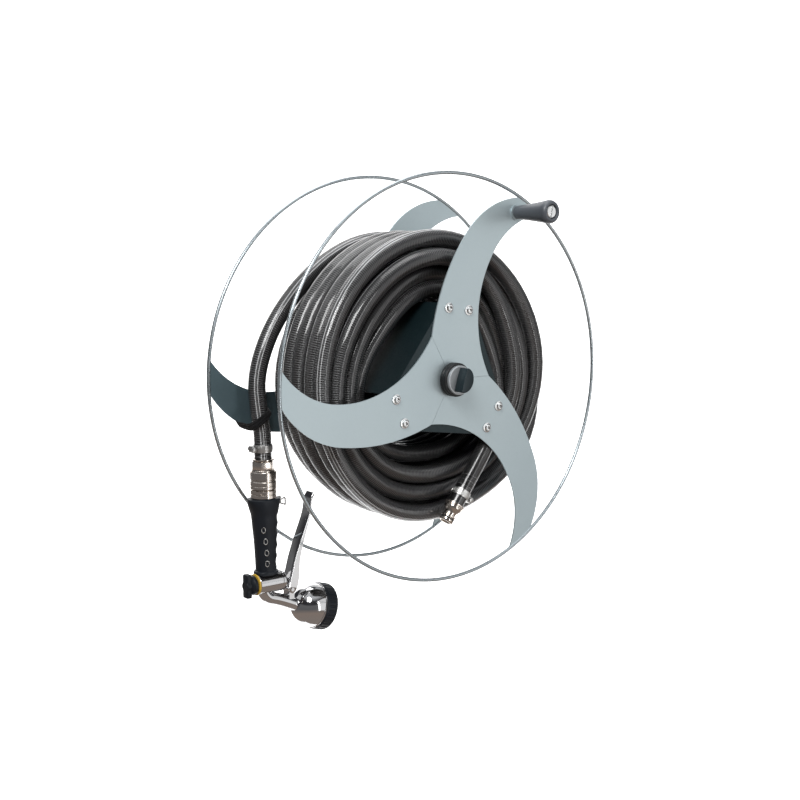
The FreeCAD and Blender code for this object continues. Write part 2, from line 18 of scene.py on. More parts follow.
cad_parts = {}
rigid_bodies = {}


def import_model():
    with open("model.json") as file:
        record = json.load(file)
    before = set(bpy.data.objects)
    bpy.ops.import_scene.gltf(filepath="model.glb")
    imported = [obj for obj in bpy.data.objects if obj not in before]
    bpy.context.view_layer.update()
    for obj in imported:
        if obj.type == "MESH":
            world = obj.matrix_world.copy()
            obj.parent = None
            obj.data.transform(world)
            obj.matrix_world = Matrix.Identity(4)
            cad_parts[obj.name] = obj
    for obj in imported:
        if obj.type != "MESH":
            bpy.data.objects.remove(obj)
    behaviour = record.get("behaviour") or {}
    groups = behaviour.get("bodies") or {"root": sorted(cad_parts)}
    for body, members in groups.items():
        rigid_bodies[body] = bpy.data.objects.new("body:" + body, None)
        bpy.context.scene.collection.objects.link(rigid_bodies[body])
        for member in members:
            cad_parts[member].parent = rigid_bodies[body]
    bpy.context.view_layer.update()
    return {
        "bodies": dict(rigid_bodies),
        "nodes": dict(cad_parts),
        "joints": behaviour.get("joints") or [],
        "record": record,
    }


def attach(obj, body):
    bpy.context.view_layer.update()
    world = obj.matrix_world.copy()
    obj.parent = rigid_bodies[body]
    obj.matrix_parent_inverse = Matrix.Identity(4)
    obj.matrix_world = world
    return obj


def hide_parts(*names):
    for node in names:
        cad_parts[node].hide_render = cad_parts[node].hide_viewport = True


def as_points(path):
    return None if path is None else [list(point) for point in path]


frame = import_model()
nodes = frame["nodes"]
MM = 0.001

# %% [markdown]
# ## Camera
#
# A product picture of a wheel is taken from the side and a little above, so that both rings show as
# ellipses and the width of the drum can be read. A lens a bit longer than normal keeps them from bulging.

# %% Camera
def in_scene(name, data):
    made = bpy.data.objects.new(name, data)
    bpy.context.scene.collection.objects.link(made)
    return made


camera = in_scene("camera", bpy.data.cameras.new("camera"))
camera.location = (-1.1146, -1.5435, 0.1921)
camera.rotation_euler = (math.radians(82.657), 0, math.radians(-38.277))
camera.data.lens = 57.37
camera.data.sensor_width = 36
bpy.context.scene.camera = camera

# %% [markdown]
# ## Working frames
#
# Most pieces are turned or flat, so they are easiest to draw round their own z axis in millimetres. A
# matrix then lays that axis along the reel's axis, the hanging hose or the gun's nozzle, and the points
# are written into the mesh at their final place. The object itself stays at the origin.

# %% Frames and a finisher for meshes
HOSE_RADIUS = 12.0
HANG_X, HANG_Y = -208.0, -96.0
HANG = Matrix.Translation((HANG_X, HANG_Y, 0))
SHARP = math.radians(32)


def forward(x=0.0, z=0.0, turn=0.0):
    """Local z runs out from the wall; local x and y are the row's X and Z."""
    return (Matrix.Translation((x, 0, z)) @ Matrix.Rotation(math.radians(90), 4, "X")
            @ Matrix.Rotation(math.radians(turn), 4, "Z"))


def along(start, direction):
    """Local z runs from a start point in a given direction."""
    return Matrix.Translation(start) @ Vector(direction).to_track_quat("Z", "Y").to_matrix().to_4x4()


def handed_over(name, mesh, body, replaces):
    """Make the object, ride it on its body, and take the place of any engineered pieces."""
    piece = in_scene(name, mesh)
    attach(piece, body)
    if replaces:
        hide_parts(*replaces)
    return piece


def finished(bm, name, body, finish, place=None, replaces=()):
    """Place a drawn shape, smooth it up to its sharp edges, and hand it over."""
    bmesh.ops.remove_doubles(bm, verts=bm.verts, dist=0.001)
    bmesh.ops.recalc_face_normals(bm, faces=bm.faces)
    bmesh.ops.transform(bm, matrix=Matrix.Scale(MM, 4) @ (place or Matrix()), verts=bm.verts)
    for face in bm.faces:
        face.smooth = True
    for edge in bm.edges:
        if len(edge.link_faces) == 2:
            edge.smooth = edge.calc_face_angle(0) < SHARP
    mesh = bpy.data.meshes.new(name)
    bm.to_mesh(mesh)
    bm.free()
    mesh.materials.append(finish)
    print(f"{name}: {len(mesh.polygons)} faces")
    return handed_over(name, mesh, body, replaces)


# %% [markdown]
# Turned pieces come from one helper: a half profile of (radius, height) points, spun once round z. Its
# corners are then rounded with a small bevel, because a perfectly sharp metal edge never catches light.

# %% Turning and small shapes
def turned(profile, steps=64, bevel=0.0, closed=False):
    bm = bmesh.new()
    verts = [bm.verts.new((radius, 0, height)) for radius, height in profile]
    pairs = list(zip(verts, verts[1:]))
    if closed:
        pairs.append((verts[-1], verts[0]))
    edges = [bm.edges.new(pair) for pair in pairs]
    bmesh.ops.spin(bm, geom=verts + edges, cent=(0, 0, 0), axis=(0, 0, 1), angle=2 * math.pi,
                   steps=steps, use_merge=True)
    bmesh.ops.remove_doubles(bm, verts=bm.verts, dist=0.001)
    bmesh.ops.recalc_face_normals(bm, faces=bm.faces)
    round_off(bm, bevel)
    return bm


def round_off(bm, size, segments=2, above=SHARP):
    """Bevel every edge sharper than an angle."""
    if size <= 0:
        return
    edges = [edge for edge in bm.edges if len(edge.link_faces) == 2 and edge.calc_face_angle(0) > above]
    bmesh.ops.bevel(bm, geom=edges, offset=size, offset_type="OFFSET", segments=segments, profile=0.5,
                    affect="EDGES", clamp_overlap=True, material=-1)


def slab(outline_size, height, centre=(0, 0, 0), bevel=0.0, segments=2):
    """A box of (width, depth), centred in plan, that stands on its centre point."""
    bm = bmesh.new()
    bmesh.ops.create_cube(bm, size=1)
    bmesh.ops.scale(bm, vec=(outline_size[0], outline_size[1], height), verts=bm.verts)
    bmesh.ops.translate(bm, vec=Vector(centre) + Vector((0, 0, height / 2)), verts=bm.verts)
    round_off(bm, bevel, segments)
    return bm


def verts_in(geometry):
    return [item for item in geometry if isinstance(item, bmesh.types.BMVert)]


def pulled(bm, move):
    """Pull a flat shape's faces along a vector, so that it becomes a closed solid."""
    grown = bmesh.ops.extrude_face_region(bm, geom=list(bm.faces))["geom"]
    bmesh.ops.translate(bm, vec=move, verts=verts_in(grown))
    bmesh.ops.recalc_face_normals(bm, faces=bm.faces)


def prism(sides, radius, low, high, bevel=0.0, turn=0.0):
    """An upright prism with a given number of sides."""
    bm = bmesh.new()
    bmesh.ops.create_circle(bm, segments=sides, radius=radius, cap_ends=True)
    bmesh.ops.rotate(bm, cent=(0, 0, 0), matrix=Matrix.Rotation(turn, 3, "Z"), verts=bm.verts)
    bmesh.ops.translate(bm, vec=(0, 0, low), verts=bm.verts)
    pulled(bm, (0, 0, high - low))
    round_off(bm, bevel, 2, math.radians(50))
    return bm


def joined(*shapes):
    """One bmesh from several, each given as a bmesh or as (bmesh, matrix)."""
    whole = bmesh.new()
    for item in shapes:
        bm, place = item if isinstance(item, tuple) else (item, Matrix())
        bmesh.ops.transform(bm, matrix=place, verts=bm.verts)
        part = bpy.data.meshes.new("part")
        bm.to_mesh(part)
        bm.free()
        whole.from_mesh(part)
        bpy.data.meshes.remove(part)
    return whole


# %% [markdown]
# ## Finishes
#
# Each finish is a small node tree. The base is a Principled shader; a noise in the object's own
# coordinates moves its colour and roughness a little, because no real surface is even, and another
# gives the fine relief. Numbers that don't vary are set on the shader itself.

# %% Material helpers
def shader(name, colour, roughness, metallic=0.0, **inputs):
    material = bpy.data.materials.new(name)
    material.use_nodes = True
    node = material.node_tree.nodes["Principled BSDF"]
    node.inputs["Base Color"].default_value = (*colour, 1)
    node.inputs["Roughness"].default_value = roughness
    node.inputs["Metallic"].default_value = metallic
    for word, value in inputs.items():
        node.inputs[word.replace("_", " ")].default_value = value
    return material


def add(material, kind, values=(), links=(), **settings):
    """Add a node, set its options and inputs, and link other nodes' outputs into it."""
    node = material.node_tree.nodes.new(kind)
    for word, value in settings.items():
        setattr(node, word, value)
    for socket, value in dict(values).items():
        node.inputs[socket].default_value = value
    for socket, source in dict(links).items():
        material.node_tree.links.new(source, node.inputs[socket])
    return node


def into(material, socket, source):
    shade = material.node_tree.nodes["Principled BSDF"]
    material.node_tree.links.new(source, shade.inputs[socket])


def place_of(material, stretch=(1, 1, 1)):
    where = add(material, "ShaderNodeTexCoord").outputs["Object"]
    return add(material, "ShaderNodeMapping", {"Scale": stretch}, {"Vector": where}).outputs["Vector"]


def split(material, kind):
    """The X, Y and Z outputs of one of the texture coordinates."""
    where = add(material, "ShaderNodeTexCoord").outputs[kind]
    return add(material, "ShaderNodeSeparateXYZ", {}, {"Vector": where}).outputs


def noise(material, scale, where, detail=4.0, rough=0.55):
    return add(material, "ShaderNodeTexNoise", {"Scale": scale, "Detail": detail, "Roughness": rough},
               {"Vector": where}).outputs["Fac"]


def ramp(material, source, low, high, first=0.35, last=0.65):
    """Turn a grey value into a range of numbers or colours."""
    node = add(material, "ShaderNodeMapRange",
               {"From Min": first, "From Max": last, "To Min": low, "To Max": high},
               {"Value": source})
    return node.outputs["Result"]


def tint(material, source, dark, light):
    node = add(material, "ShaderNodeMix", {}, {"Factor": source}, data_type="RGBA")
    node.inputs["A"].default_value = (*dark, 1)
    node.inputs["B"].default_value = (*light, 1)
    return node.outputs["Result"]


def relief(material, height, distance, strength=1.0):
    bump = add(material, "ShaderNodeBump", {"Distance": distance, "Strength": strength}, {"Height": height})
    into(material, "Normal", bump.outputs["Normal"])


def maths(material, operation, first, second=None):
    node = add(material, "ShaderNodeMath", operation=operation)
    for socket, value in enumerate((first, second)):
        if value is None:
            continue
        if isinstance(value, (int, float)):
            node.inputs[socket].default_value = value
        else:
            material.node_tree.links.new(value, node.inputs[socket])
    return node.outputs["Value"]


# %% [markdown]
# ### Metals
#
# Zinc sheet is pale and slightly blue, with a satin face that blurs what it mirrors. Chrome is almost a
# mirror. Nickel over brass is warmer, and uneven in tone.

# %% Metal finishes
def worn_metal(name, dark, light, roughness, metallic, stretch, grain, depth):
    """Two close colours in broad patches, an uneven gloss and, with a depth, a fine relief."""
    material = shader(name, light, roughness, metallic)
    where = place_of(material, stretch)
    broad = noise(material, 3.0, place_of(material), 3)
    fine = noise(material, grain, where, 6)
    into(material, "Base Color", tint(material, ramp(material, broad, 0, 1), dark, light))
    into(material, "Roughness", ramp(material, fine, roughness * 0.8, roughness * 1.25))
    if depth:
        relief(material, fine, depth)
    return material


zinc = worn_metal("zinc_sheet", (0.36, 0.43, 0.455), (0.40, 0.47, 0.49), 0.36, 0.5, (1, 1, 1), 500, 0.000003)
# Painted shade: the rear left arm's front face is made dark teal to stand for the shade it sits in.
arm_painted_shade_zinc = worn_metal("zinc_arm_painted_shade", (0.085, 0.13, 0.148), (0.098, 0.145, 0.165), 0.40, 0.5, (1, 1, 1),
                      500, 0.000003)
# Painted shade: the drum plates, hub tube and hub discs are made nearly black teal to stand for the shade
# inside the coil.
drum_painted_shade_zinc = worn_metal("zinc_drum_painted_shade", (0.005, 0.014, 0.017), (0.008, 0.020, 0.024), 0.42, 0.4, (1, 1, 1),
                        300, 0.000005)


def painted_shade_front_only(material, colour):
    """Keep the painted shade on the face towards the hose only, and give the back the plain sheet's colour."""
    front = material.node_tree.nodes["Principled BSDF"].inputs["Base Color"].links[0].from_socket
    back = ramp(material, split(material, "Normal")["Y"], 0, 1, -0.5, 0.5)
    mixed = add(material, "ShaderNodeMix", {}, {"Factor": back}, data_type="RGBA")
    material.node_tree.links.new(front, mixed.inputs["A"])
    mixed.inputs["B"].default_value = (*colour, 1)
    into(material, "Base Color", mixed.outputs["Result"])


painted_shade_front_only(arm_painted_shade_zinc, (0.38, 0.45, 0.47))
wire_zinc = worn_metal("zinc_wire", (0.33, 0.37, 0.39), (0.38, 0.42, 0.44), 0.28, 0.85, (1, 1, 1), 60, 0.0)
chrome = worn_metal("chrome", (0.50, 0.50, 0.505), (0.58, 0.58, 0.585), 0.09, 1.0, (1, 1, 1), 60, 0.0)
nickel = worn_metal("nickel_brass", (0.42, 0.375, 0.33), (0.66, 0.61, 0.56), 0.20, 1.0, (1, 1, 1), 90,
                    0.00001)
stainless = worn_metal("stainless", (0.55, 0.56, 0.56), (0.70, 0.71, 0.71), 0.22, 1.0, (1, 1, 1), 120,
                       0.000004)
band_steel = worn_metal("band_steel", (0.42, 0.42, 0.41), (0.54, 0.54, 0.53), 0.34, 1.0, (1, 1, 1), 120,
                        0.000008)
bracket_paint = worn_metal("bracket_paint", (0.035, 0.04, 0.045), (0.06, 0.066, 0.07), 0.45, 0.0, (1, 1, 1),
                           350, 0.00006)
cap_metal = worn_metal("knob_cap_metal", (0.34, 0.36, 0.375), (0.38, 0.40, 0.415), 0.33, 0.6, (1, 1, 1), 40,
                       0.0)
turned_steel = worn_metal("turned_steel", (0.42, 0.42, 0.42), (0.58, 0.58, 0.57), 0.30, 1.0, (1, 40, 1), 30,
                          0.00002)

# %% [markdown]
# ### Plastics and rubber
#
# Moulded parts have a fine spark-eroded grain. The two greys differ: the crank handle is a mid grey
# plastic, and the knob and the gun are nearly black.

# %% Plastic and rubber finishes
def moulded(name, dark, light, roughness, grain, depth, specular=0.5):
    """A moulded skin: almost one colour, with a fine grain in its gloss and its relief."""
    material = shader(name, light, roughness, Specular_IOR_Level=specular)
    where = place_of(material)
    into(material, "Base Color", tint(material, ramp(material, noise(material, 18, where), 0, 1), dark,
                                      light))
    fine = noise(material, grain, where, 3)
    into(material, "Roughness", ramp(material, fine, roughness * 0.85, roughness * 1.15))
    relief(material, fine, depth)
    return material


handle_plastic = moulded("handle_plastic", (0.062, 0.070, 0.082), (0.078, 0.087, 0.100), 0.40, 900, 0.00004)
knob_plastic = moulded("knob_plastic", (0.007, 0.008, 0.009), (0.012, 0.013, 0.014), 0.38, 900, 0.00003, 0.3)
knob_face = moulded("knob_face", (0.009, 0.017, 0.021), (0.013, 0.023, 0.028), 0.36, 700, 0.00002, 0.25)
gun_rubber = moulded("gun_rubber", (0.005, 0.007, 0.010), (0.009, 0.012, 0.017), 0.46, 1100, 0.00004, 0.25)
nylon = moulded("nylon", (0.70, 0.69, 0.63), (0.78, 0.77, 0.72), 0.45, 400, 0.00003)
yellow = moulded("yellow_ring", (0.50, 0.30, 0.03), (0.62, 0.40, 0.05), 0.3, 400, 0.00001)
seal_rubber = moulded("seal_rubber", (0.010, 0.010, 0.010), (0.02, 0.02, 0.02), 0.5, 900, 0.00003)
face_plastic = moulded("face_plastic", (0.030, 0.032, 0.035), (0.045, 0.047, 0.05), 0.35, 600, 0.00003)
THREAD_PITCH = 0.0016


def woven():
    """Black webbing: two crossed waves for the threads, and a soft sheen at the edges of the fibres."""
    material = shader("strap_weave", (0.006, 0.006, 0.007), 0.8, Specular_IOR_Level=0.2, Sheen_Weight=0.03,
                      Sheen_Roughness=0.5)
    spot = split(material, "Object")
    turns = 2 * math.pi / THREAD_PITCH
    rise = maths(material, "SINE", maths(material, "MULTIPLY", spot["Z"], turns))
    level = maths(material, "ADD", spot["X"], spot["Y"])
    across = maths(material, "SINE", maths(material, "MULTIPLY", level, turns))
    threads = maths(material, "MULTIPLY", rise, across)
    into(material, "Base Color", tint(material, ramp(material, threads, 0, 1, -1, 1), (0.003, 0.003, 0.0035),
                                      (0.011, 0.011, 0.012)))
    relief(material, threads, 0.00018)
    return material


strap_weave = woven()

# %% [markdown]
# ### Hose
#
# The hose has a clear-coated dark wall with a textile braid under it. The braid shows as fine slanted ribs
# that break up the highlights, and two thin white lines run along it. The pattern follows the hose's own
# map: u goes once round it, and v is the distance along it in metres, so a rib keeps its size everywhere.

# %% Hose finish
RIB_PITCH = 0.0029
RIB_SLANT = 3.0
LINE_DRIFT = 0.11
LINE_PLACES = 0.070, 0.125


def hose_finish():
    material = shader("hose_wall", (0.02, 0.02, 0.022), 0.30, Coat_Weight=0.7, Coat_Roughness=0.10)
    parts = split(material, "UV")
    u, v = parts["X"], parts["Y"]
    turns = 2 * math.pi / RIB_PITCH
    slant = maths(material, "MULTIPLY", u, RIB_SLANT * 2 * math.pi)
    length = maths(material, "MULTIPLY", v, turns)
    rib = maths(material, "SINE", maths(material, "ADD", length, slant))
    weft = maths(material, "SINE", maths(material, "SUBTRACT", length, slant))
    braid = maths(material, "MAXIMUM", rib, maths(material, "MULTIPLY", weft, 0.55))
    side = maths(material, "ADD", u, maths(material, "MULTIPLY", v, LINE_DRIFT))
    patch = maths(material, "SINE", maths(material, "MULTIPLY", side, 4 * math.pi))
    show = ramp(material, patch, 0.65, 1.0, -0.6, 0.5)
    height = maths(material, "MULTIPLY", braid, show)
    broad = noise(material, 9, place_of(material), 3)
    plain = tint(material, ramp(material, broad, 0, 1), (0.005, 0.005, 0.006), (0.010, 0.010, 0.011))
    # The braid's pale crests are partly the textile's own colour and partly a painted highlight where the ribs
    # catch the light.
    braid_and_painted_highlight = tint(material, ramp(material, height, 0, 1, 0.1, 1.0), (0.0015, 0.0015, 0.0018),
                   (0.088, 0.089, 0.091))
    mixed = add(material, "ShaderNodeMix", {}, {"Factor": maths(material, "MULTIPLY", show, 0.95)},
                data_type="RGBA")
    material.node_tree.links.new(plain, mixed.inputs["A"])
    material.node_tree.links.new(braid_and_painted_highlight, mixed.inputs["B"])
    turn = maths(material, "FRACT", side)
    lines = None
    for centre in LINE_PLACES:
        off = maths(material, "ABSOLUTE", maths(material, "SUBTRACT", turn, centre))
        line = ramp(material, off, 1.0, 0.0, 0.0055, 0.0095)
        lines = line if lines is None else maths(material, "MAXIMUM", lines, line)
    drawn = add(material, "ShaderNodeMix", {}, {"Factor": lines, "A": mixed.outputs["Result"]},
                data_type="RGBA")
    drawn.inputs["B"].default_value = (0.50, 0.51, 0.52, 1)
    into(material, "Base Color", drawn.outputs["Result"])
    into(material, "Roughness", ramp(material, height, 0.27, 0.40, -1, 1))
    relief(material, height, 0.0008, 1.0)
    return material


hose_wall = hose_finish()

# %% [markdown]
# ## The hose
#
# The hose is one length, from the coupling above the gun to the plated inlet at its inner end. It is drawn
# as a single smooth curve. The hanging end and the inlet end are given as listed points. The winding between
# them
# is a loop that walks inward: the last turn crosses from the back to the front over the others, and then
# each layer travels from one flange to the other. Layers near the three-sided drum follow its corners, and
# the outer ones are rounder. A small random wander keeps the turns from looking machined.

# %% Hose route
DRUM_TURN = math.radians(82.6)
LOOSE_SIDE = math.radians(215)
BULGE_SIDE = math.radians(-6)
REAR_Y, FRONT_Y = -84.5, -219.0
INLET_ROOM, INLET_SIDE, INLET_SPREAD = 17.0, math.radians(-68), math.radians(66)
INNER_LAYER, OUTER_LAYER = 116.0, 187.5
START_TURN = math.radians(124)
BULGE, ROUND_LEAN, DRUM_LEAN, ROUND_LOBE, DRUM_LOBE = 13.0, 2.0, 3.0, 1.2, 7.8
STEPS_PER_TURN = 24

# turns passed since the hanging end, layer radius, and depth from the back (0) to the front (1)
WINDING = [
    (0.00, 187.0, 0.06), (0.13, 188.0, 0.07), (0.26, 208.0, 0.35), (0.42, 209.0, 0.78), (0.56, 188.5, 1.00),
    (4.55, 187.5, 0.26), (4.85, 164.5, 0.02), (10.05, 164.0, 1.00), (10.35, 140.5, 0.98),
           (15.55, 140.0, 0.00),
    (15.85, 116.5, 0.01), (20.00, 116.0, 0.84), (20.344, 121.0, 0.86),
]
HANGING = [(-208, -96, -106), (-208, -96, -72), (-214.5, -96, -36), (-217, -95, 4), (-200, -94, 52),
           (-173, -93, 93), (-140, -92, 127)]
INNER_END = [(111, -211.6, -37), (96, -223.6, -75), (71, -228.6, -110.4), (20.0, -228.6, -176.8)]


def winding_at(turns):
    """The layer radius and depth after some turns, eased between the stages."""
    for (begin, radius, depth), (end, next_radius, next_depth) in zip(WINDING, WINDING[1:]):
        if turns <= end:
            share = (turns - begin) / (end - begin)
            eased = share * share * (3 - 2 * share)
            return radius + (next_radius - radius) * eased, depth + (next_depth - depth) * share
    return WINDING[-1][1], WINDING[-1][2]


def coil_points():
    wander = random.Random(7)
    drift = [(wander.uniform(0, 6.28), wander.uniform(0.35, 0.9)) for _ in range(4)]
    total = WINDING[-1][0]
    count = int(total * STEPS_PER_TURN)
    for step in range(count + 1):
        turns = total * step / count
        angle = START_TURN - 2 * math.pi * turns
        layer, depth = winding_at(turns)
        inner = 1 - (layer - INNER_LAYER) / (OUTER_LAYER - INNER_LAYER)
        lobe = ROUND_LOBE + DRUM_LOBE * max(0.0, min(1.0, inner))
        lean = ROUND_LEAN + DRUM_LEAN * max(0.0, min(1.0, inner))
        radius = layer + lean * math.cos(angle - LOOSE_SIDE) + lobe * math.cos(3 * (angle - DRUM_TURN))
        away = (angle - INLET_SIDE + math.pi) % (2 * math.pi) - math.pi
        near = max(0.0, math.cos(away / INLET_SPREAD * math.pi / 2)) if abs(away) < INLET_SPREAD else 0.0
        room = INLET_ROOM * near
        y = REAR_Y + depth * (FRONT_Y + room - REAR_Y)
        y += 1.1 * math.sin(angle * drift[0][1] + drift[0][0]) + 0.7 * math.sin(angle * 1.9 + drift[1][0])
        radius += BULGE * (1 - inner) * max(0.0, math.cos(angle - BULGE_SIDE)) ** 3
        radius += 0.9 * math.sin(angle * drift[2][1] + drift[2][0]) + 0.5 * math.sin(angle * 2.3 + drift[3][0])
        radius /= math.cos(math.pi / STEPS_PER_TURN)
        y = min(y, REAR_Y)
        yield radius * math.cos(angle), y, radius * math.sin(angle)


def cut_corners(points, rounds=2):
    """Chaikin's cutting: more points on the same smooth curve, with its two ends kept."""
    for _ in range(rounds):
        pairs = list(zip(points, points[1:]))
        inner = [tuple(a + (b - a) * share for a, b in zip(*pair)) for pair in pairs
                 for share in (0.25, 0.75)]
        points = [points[0], *inner[1:-1], points[-1]]
    return points


route = cut_corners(HANGING) + list(coil_points()) + cut_corners(INNER_END)
print(len(route), "points on the hose's route")

# %% [markdown]
# The curve is a quadratic NURBS, which stays inside its corners and has no kinks. The tube's skin comes from
# the curve's own round bevel. Its map is then rewritten, because the curve spaces v by point and not by
# distance.

# %% Hose mesh
def smooth_curve(name, points, radius=0.0, resolution=3, sides=4):
    data = bpy.data.curves.new(name, "CURVE")
    data.dimensions = "3D"
    spline = data.splines.new("NURBS")
    spline.points.add(len(points) - 1)
    for point, place in zip(spline.points, points):
        point.co = (place[0] * MM, place[1] * MM, place[2] * MM, 1)
    spline.order_u = 3
    spline.use_endpoint_u = True
    data.resolution_u = resolution
    data.bevel_depth = radius * MM
    data.bevel_resolution = sides
    data.use_fill_caps = radius > 0
    return data


def mesh_of(data):
    holder = in_scene("holder", data)
    bpy.context.view_layer.update()
    mesh = bpy.data.meshes.new_from_object(holder)
    bpy.data.objects.remove(holder)
    return mesh


def path_of(points, resolution=3):
    return [vert.co.copy() for vert in mesh_of(smooth_curve("line", points, resolution=resolution)).vertices]


def map_by_length(mesh, path, sides):
    """Write u as the share round the tube and v as the distance along it in metres."""
    along_path = [0.0]
    for before, after in zip(path, path[1:]):
        along_path.append(along_path[-1] + (after - before).length)
    layer = mesh.uv_layers.active or mesh.uv_layers.new(name="UVMap")
    skin = len(path) * sides
    for polygon in mesh.polygons:
        places = [mesh.loops[loop].vertex_index for loop in polygon.loop_indices]
        wraps = any(place % sides == sides - 1 for place in places)
        for loop, place in zip(polygon.loop_indices, places):
            ring, side = (place // sides, place % sides) if place < skin else (0, 0)
            if wraps and side == 0:
                side = sides
            layer.data[loop].uv = (side / sides, along_path[min(ring, len(path) - 1)])
    return along_path[-1]


def tube(name, points, radius, body, finish, resolution=3, sides=4, replaces=()):
    mesh = mesh_of(smooth_curve(name, points, radius, resolution, sides))
    path = path_of(points, resolution)
    length = map_by_length(mesh, path, 2 * (sides + 2))
    mesh.materials.clear()
    mesh.materials.append(finish)
    for polygon in mesh.polygons:
        polygon.use_smooth = True
    print(f"{name}: {length:.3f} m long, {len(mesh.polygons)} faces")
    return handed_over(name, mesh, body, replaces), path, length


hose, hose_path, hose_length = tube("hose", route, HOSE_RADIUS, "reel", hose_wall, 3, 6,
                                    ("hose_coil", "hose_outer_end", "hose_inner_end"))

# %% [markdown]
# ## Wheel
#
# The two rings are spun from a small circle, and take the place of the coarser engineered ones. The arms,
# the drum and the hub keep their engineered shapes and only get their finishes.

# %% Rings and the wheel's finishes
def ring_profile(radius, wire, points=12):
    return [(radius + wire * math.cos(turn), wire * math.sin(turn))
            for turn in (2 * math.pi * k / points for k in range(points))]


for side, plane in (("rear", 70.0), ("front", 242.0)):
    finished(turned(ring_profile(275.0, 2.49), 224, closed=True), side + "_hoop", "reel",
             wire_zinc,
             forward() @ Matrix.Translation((0, 0, plane)), (side + "_ring",))

FINISHES = {
    zinc: ["front_arm_top", "front_arm_left", "front_arm_right", "rear_arm_right", "rear_arm_top",
           "crank_washer"],
    # painted shade on the front face of the rear left arm
    arm_painted_shade_zinc: ["rear_arm_left"],
    # painted shade on the drum and hub inside the coil
    drum_painted_shade_zinc: ["drum_plate_right", "drum_plate_left", "drum_plate_low", "hub_tube", "front_hub_disc",
                 "rear_hub_disc"],
    bracket_paint: ["wall_plate", "bracket_boss"],
    turned_steel: ["axle"],
    nylon: ["front_bush", "rear_bush", "thrust_washer"],
    stainless: ["front_screws", "rear_screws", "front_nuts", "rear_nuts", "crank_bolt", "crank_nut"],
    nickel: ["gun_inlet"],
    chrome: ["valve_stem", "trigger_pin", "trigger_lugs"],
}
for finish, names in FINISHES.items():
    for name in names:
        mesh = nodes[name].data
        mesh.materials.clear()
        mesh.materials.append(finish)
        for polygon in mesh.polygons:
            polygon.material_index = 0

# %% [markdown]
# ## Crank handle and lock knob
#
# Both are moulded pieces. The handle is a fat tapered grip with a recess for its bolt's head. The knob has a
# grooved skirt, a metal cap, and a raised grip to turn it by.

# %% Crank handle
CRANK = forward(117, 224)
grip_profile = [(5.06, 245.4), (8.6, 245.4), (9.2, 247), (10.2, 258), (11.4, 270), (12.7, 282), (14.0, 293),
                (15.2, 301), (15.9, 306), (15.6, 309.4), (14.4, 311.8), (12.6, 313.2), (10.2, 313.2),
                (10.0, 312.8), (10.0, 308.4), (5.06, 308.4)]
finished(turned(grip_profile, 96, 0.25, closed=True), "crank_handle", "crank_grip",
         handle_plastic, CRANK, ("crank_grip",))

# %% Lock knob
skirt = [(6.06, 245.5), (22.4, 245.5), (22.9, 246.2), (22.9, 249.4), (22.1, 250.0), (22.1, 250.9),
         (22.9, 251.5), (22.9, 255.4), (22.2, 256.7), (21, 257), (6.06, 257)]
finished(turned(skirt, 96, 0.2, closed=True), "knob_skirt", "lock_knob", knob_plastic,
         forward(), ("lock_knob_base",))
cap = [(0, 257.1), (19.6, 257.1), (19.9, 257.6), (19.9, 260.6), (19.3, 261.7), (18.2, 261.9), (17.7, 261.5),
       (0, 261.3)]
finished(turned(cap, 96), "knob_cap", "lock_knob", cap_metal, forward(), ("lock_knob_cap",))


def knob_bar():
    """The raised grip: flat on its left side and round on its right, leaning a little to the right."""
    bm = bmesh.new()
    turns = [math.radians(step * 9 - 81) for step in range(19)]
    round_side = [(14.4 * math.cos(turn) - 4.6, 16.9 * math.sin(turn)) for turn in turns]
    flat_side = [(-3.6, 16.8), (-5.0, 16.2), (-5.8, 15.0), (-6.6, 0), (-5.8, -15.0), (-5.0, -16.2),
                 (-3.6, -16.8)]
    bm.faces.new([bm.verts.new((x, y, 261.4)) for x, y in round_side + flat_side])
    pulled(bm, (0, 0, 16))
    round_off(bm, 0.7, 2, math.radians(60))
    return bm


finished(knob_bar(), "knob_bar", "lock_knob", knob_face, forward(turn=-18),
         ("lock_knob_wing",))

# %% [markdown]
# ## Fittings on the hose
#
# Turned brass with a nickel coat. The push-on coupling has a grooved sleeve that slides, the clamps are a
# thin band with a worm screw in a small housing, and the inlet at the hose's inner end is a stepped nipple
# with a seal.

# %% Coupling
collar = [(8, -106), (14.2, -106), (15.4, -106.5), (15.4, -107.8), (14.2, -108.6), (13.4, -109.6),
          (8, -109.6)]
barrel = [(8, -121), (15.4, -121), (15.8, -121.6), (15.8, -148), (16.9, -148.1), (17.9, -149),
          (17.9, -153.2), (17.3, -153.7), (17.3, -154.5), (17.9, -155), (17.9, -158.9), (17.2, -159.9),
          (8, -159.9)]
coupling_parts = joined(turned(collar, 96, closed=True),
                        prism(6, 15.85, -121.2, -109.4, 0.8, math.radians(18)),
                        turned(barrel, 96, closed=True))
coupling_piece = finished(coupling_parts, "coupling_turning", "reel", nickel, HANG,
                          ("coupling_body",))
sleeve = [(15.95, -123.1), (17.2, -123.1), (18.1, -123.9), (18.3, -125), (18.3, -133.6), (17.5, -134.4),
          (17.5, -136.2), (18.3, -137.0), (18.3, -141.6), (17.8, -142.1), (17.8, -142.7), (18.3, -143.2),
          (18.3, -146.4), (17.4, -147.5), (15.95, -147.5)]
finished(turned(sleeve, 120, closed=True), "sleeve_turning", "coupling_sleeve", nickel, HANG,
         ("coupling_sleeve",))

# %% Hose clamps
INNER = Matrix.Translation(INNER_END[-1]) @ Vector((0, 0, 1)).rotation_difference(
    Vector(INNER_END[-1]) - Vector(INNER_END[-2])).to_matrix().to_4x4()


